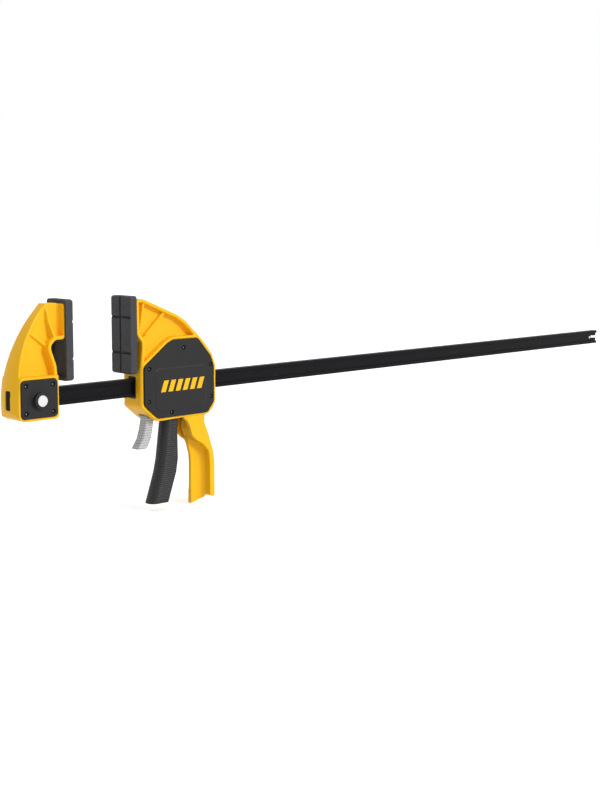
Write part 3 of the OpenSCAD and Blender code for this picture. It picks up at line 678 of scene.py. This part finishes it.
def round_front(points, old, radius, low, high):
    """Widen the radius of the two front corners of an upright grip, and of its hollow with them."""
    points = points.copy()
    x, y, z = points.T
    half = np.abs(y[(z > low) & (z < high)]).max()
    ahead = np.maximum(radius - front_distance(x, z), 0)
    aside = np.maximum(radius - (half - np.abs(y)), 0)
    reach = np.maximum(np.hypot(ahead, aside), 1e-3 * MM)
    most = np.maximum(np.maximum(ahead, aside) / reach, 1e-6)
    least = np.minimum(ahead, aside) / reach
    # the old outline, seen from the middle of the new radius: two flats and the old radius
    inner = radius - old
    along = inner * (most + least)
    arc = along + np.sqrt(np.maximum(along ** 2 - 2 * inner ** 2 + old ** 2, 0))
    outline = np.where(radius / most * least <= inner, radius / most, arc)
    share = step(z, low - 3 * MM, low + 3 * MM) * (1 - step(z, high - 3 * MM, high + 3 * MM))
    draw = np.where((ahead > 0) & (aside > 0), share * (1 - radius / outline), 0)
    points[:, 0] += draw * ahead
    points[:, 1] -= np.sign(y) * draw * aside
    return points


def lever_knurl(points, normals):
    """Shallow grooves across and along the release lever's finger part."""
    x, y, z = points.T
    cross = step(np.abs(np.sin(math.pi * z / KNURL_PITCH)), 0.05, 0.5)
    flank = np.abs(np.sin(math.pi * (front_distance(x, z) - 0.6 * MM) / KNURL_WIDTH))
    along = np.where(
        np.abs(normals[:, 1]) > 0.7, step(flank, 0.05, 0.5),
        step(np.abs(np.sin(math.pi * y / KNURL_WIDTH)), 0.05, 0.5))
    finger = (1 - step(z, -41 * MM, -39 * MM)) * step(z, z.min() + 1 * MM, z.min() + 3 * MM)
    push = (np.minimum(cross, along) - 1) * KNURL_DEPTH * finger
    return points + normals * push[:, None]


# The trigger's cross ribs: between these heights, one to each pitch
RIBS_TOP = -40 * MM
RIBS_LOW = -138 * MM
RIB_PITCH = 2.6 * MM
RIB_HEIGHT = 0.45 * MM
# The radius of its front corners in the solid, and the one that the picture shows
CORNER_OLD, CORNER_NEW = 6 * MM, 9 * MM


def trigger_corners(points):
    return round_front(points, CORNER_OLD, CORNER_NEW, RIBS_LOW - 10 * MM, RIBS_TOP)


def trigger_ribs(points, normals):
    """Round cross ribs on the trigger's front and sides, fading out towards its rear edges."""
    x, y, z = points.T
    wave = 0.5 - 0.5 * np.cos(2 * math.pi * (z - RIBS_LOW) / RIB_PITCH)
    along = step(z, RIBS_LOW, RIBS_LOW + 2 * MM) * (1 - step(z, RIBS_TOP - 2 * MM, RIBS_TOP))
    from_rear = step(rear_distance(x, z), 2.5 * MM, 5 * MM)
    outward = step(-normals[:, 0] + 1.3 * np.sign(y) * normals[:, 1], 0.3, 0.8)
    push = (wave - 1) * RIB_HEIGHT * along * from_rear * outward
    return points + normals * push[:, None]


# What counts as a pad's groove: these depths behind its face, inside these borders
GROOVE_LEAST, GROOVE_MOST = 0.15 * MM, 3 * MM
PAD_INSIDE, PAD_BORDER = 17.2 * MM, 0.8 * MM
GROOVE_MORE = 1.2 * MM


def deeper_grooves(points):
    """The pads' grooves twice as deep, for the dark lines that the picture shows."""
    points = points.copy()
    face, away = (HEAD_X, 1) if points[:, 0].min() > HEAD_X / 2 else (0, -1)
    depth = (points[:, 0] - face) * away
    y, z = points[:, 1], points[:, 2]
    inner = (np.abs(y) < PAD_INSIDE) & (z > z.min() + PAD_BORDER) & (z < z.max() - PAD_BORDER)
    groove = inner & (depth > GROOVE_LEAST) & (depth < GROOVE_MOST)
    points[:, 0] += np.where(groove, away * np.minimum(depth, GROOVE_MORE), 0)
    return points


# How much lower the raised panel of a head cover is made, so that the marks stay within the cover
PANEL_DOWN = 0.2 * MM


def drawn_in_panel(points):
    points = points.copy()
    face = np.abs(points[:, 1]).max()
    share = step(np.abs(points[:, 1]), face - 0.5 * MM, face - 0.1 * MM)
    points[:, 1] -= np.sign(points[:, 1]) * share * PANEL_DOWN
    return points


# A solid block on the bar's end, in the bar's black, which closes the bar's I-section in the
# opening in the back of the fixed jaw:
# painted shade, so that the opening shows dark. X and Z of its corners and half its width
BAR_END_SHADE_FILL = [(x * MM, z * MM) for x, z in ((-74.6, -10.5), (-60, -10.5), (-60, 10.5), (-74.6, 10.5))]
SHADE_FILL_HALF = 4.5 * MM

# The slanted marks on the head's covers: first one, width, gap, foot, top and slant, in the
# head's own millimetres
MARKS = 6
MARK_START, MARK_WIDTH, MARK_GAP = 43, 7, 4
MARK_LOW, MARK_TOP, MARK_SLANT = -6.5, 7, 5
# The rings of points of a mark: how far each lies out of the panel and inside the mark's outline
MARK_RINGS = ((-0.4, 0), (0.08, 0), (0.16, 0.15))


def make_marks(node, side):
    """A row of plain slanted marks, printed proud on the raised panel of a head cover."""
    face = max(abs(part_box(node)[0].y), abs(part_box(node)[1].y)) - PANEL_DOWN
    shape = bmesh.new()
    for i in range(MARKS):
        x0 = MARK_START + i * (MARK_WIDTH + MARK_GAP)
        outline = [
            (x0, MARK_LOW), (x0 + MARK_WIDTH, MARK_LOW),
            (x0 + MARK_WIDTH + MARK_SLANT, MARK_TOP), (x0 + MARK_SLANT, MARK_TOP)]
        middle = (sum(p[0] for p in outline) / 4, sum(p[1] for p in outline) / 4)
        rings = []
        for out, inset in MARK_RINGS:
            y = side * (face + out * MM)
            rings.append([shape.verts.new((
                HEAD_X + MM * (x + inset * (1 if x < middle[0] else -1)), y,
                MM * (z + inset * (1 if z < middle[1] else -1)))) for x, z in outline])
        faces = [shape.faces.new(rings[0]), shape.faces.new(rings[-1])]
        for a, b in zip(rings, rings[1:]):
            for k in range(4):
                n = (k + 1) % 4
                faces.append(shape.faces.new((a[k], a[n], b[n], b[k])))
        bmesh.ops.recalc_face_normals(shape, faces=faces)
    name = f"{node}_marks"
    mesh = bpy.data.meshes.new(name)
    shape.to_mesh(mesh)
    shape.free()
    mesh.materials.append(MATERIALS["jaw_plastic"])
    obj = bpy.data.objects.new(name, mesh)
    bpy.context.scene.collection.objects.link(obj)
    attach(obj, BODY_OF[node])


# What counts as a screw's driver recess, whose faces get the painted highlight: this close to its
# axis and this far below its head
RECESS_RADIUS, RECESS_DEPTH = 0.9 * MM, 2 * MM


def screws(node):
    """Replace the screws by copies whose driver recess is bright bare steel, a painted highlight.
    """
    obj = finish_piece(copied(node, f"{node}_finished"), node)
    # the second material, bright bare steel, is the painted highlight in the driver recess
    obj.data.materials.append(MATERIALS["painted_glint_recess"])
    shape = bmesh.new()
    shape.from_mesh(obj.data)
    left = set(shape.verts)
    while left:
        island = {left.pop()}
        edge = list(island)
        while edge:
            more = {e.other_vert(v) for v in edge for e in v.link_edges} - island
            island |= more
            edge = list(more)
        left -= island
        middle = sum((v.co for v in island), Vector()) / len(island)
        head = max(abs(v.co.y) for v in island)
        for face in {f for v in island for f in v.link_faces}:
            at = face.calc_center_median()
            off = math.hypot(at.x - middle.x, at.z - middle.z)
            if off < RECESS_RADIUS and head - abs(at.y) < RECESS_DEPTH:
                face.material_index = 1
    shape.to_mesh(obj.data)
    shape.free()
    return obj


def make_pieces():
    lip = [(HEAD_X + x * MM, z * MM) for x, z in SLOT_LIP]
    mould("fixed_jaw", 0.6 * MM, rounds=6, faces=60000)
    mould(
        "head_body", 0.7 * MM, rounds=3, faces=90000, fit=grip_fit,
        broad=((housing_edges, 8), (grip_fillet, 70)), extra=(lip, -LIP_HALF, LIP_HALF))
    for node in ("fixed_jaw_front_cover", "fixed_jaw_rear_cover"):
        mould(node, 0.4 * MM, rounds=2, faces=24000)
    for node, side in (("head_front_cover", -1), ("head_rear_cover", 1)):
        mould(node, 0.5 * MM, rounds=2, faces=36000, fit=drawn_in_panel)
        make_marks(node, side)
    for node in ("fixed_pad", "moving_pad"):
        mould(node, 0.5 * MM, rounds=2, faces=24000, fit=deeper_grooves)
    mould("trigger", 0.45 * MM, rounds=4, faces=120000, fit=trigger_corners, carve=trigger_ribs)
    mould("release_lever", 0.35 * MM, rounds=3, faces=50000, fit=slim_lever, carve=lever_knurl)
    # the bar gets a black block on its end: painted shade in the fixed jaw's opening
    bevelled("bar", 0.5 * MM, extra=(BAR_END_SHADE_FILL, -SHADE_FILL_HALF, SHADE_FILL_HALF))
    spring("drive_spring", (1, 0, 0))
    spring("brake_spring", (1, 0, 0))
    spring("button_spring", (0, 1, 0))
    screws("fixed_jaw_screws")
    screws("head_cover_screws")
    for node, obj in frame["nodes"].items():
        if not obj.hide_render:
            dress_node(node)


make_camera()
make_stage()
make_world()
make_lights()
make_pieces()

bpy.context.scene.view_settings.view_transform = "Standard"
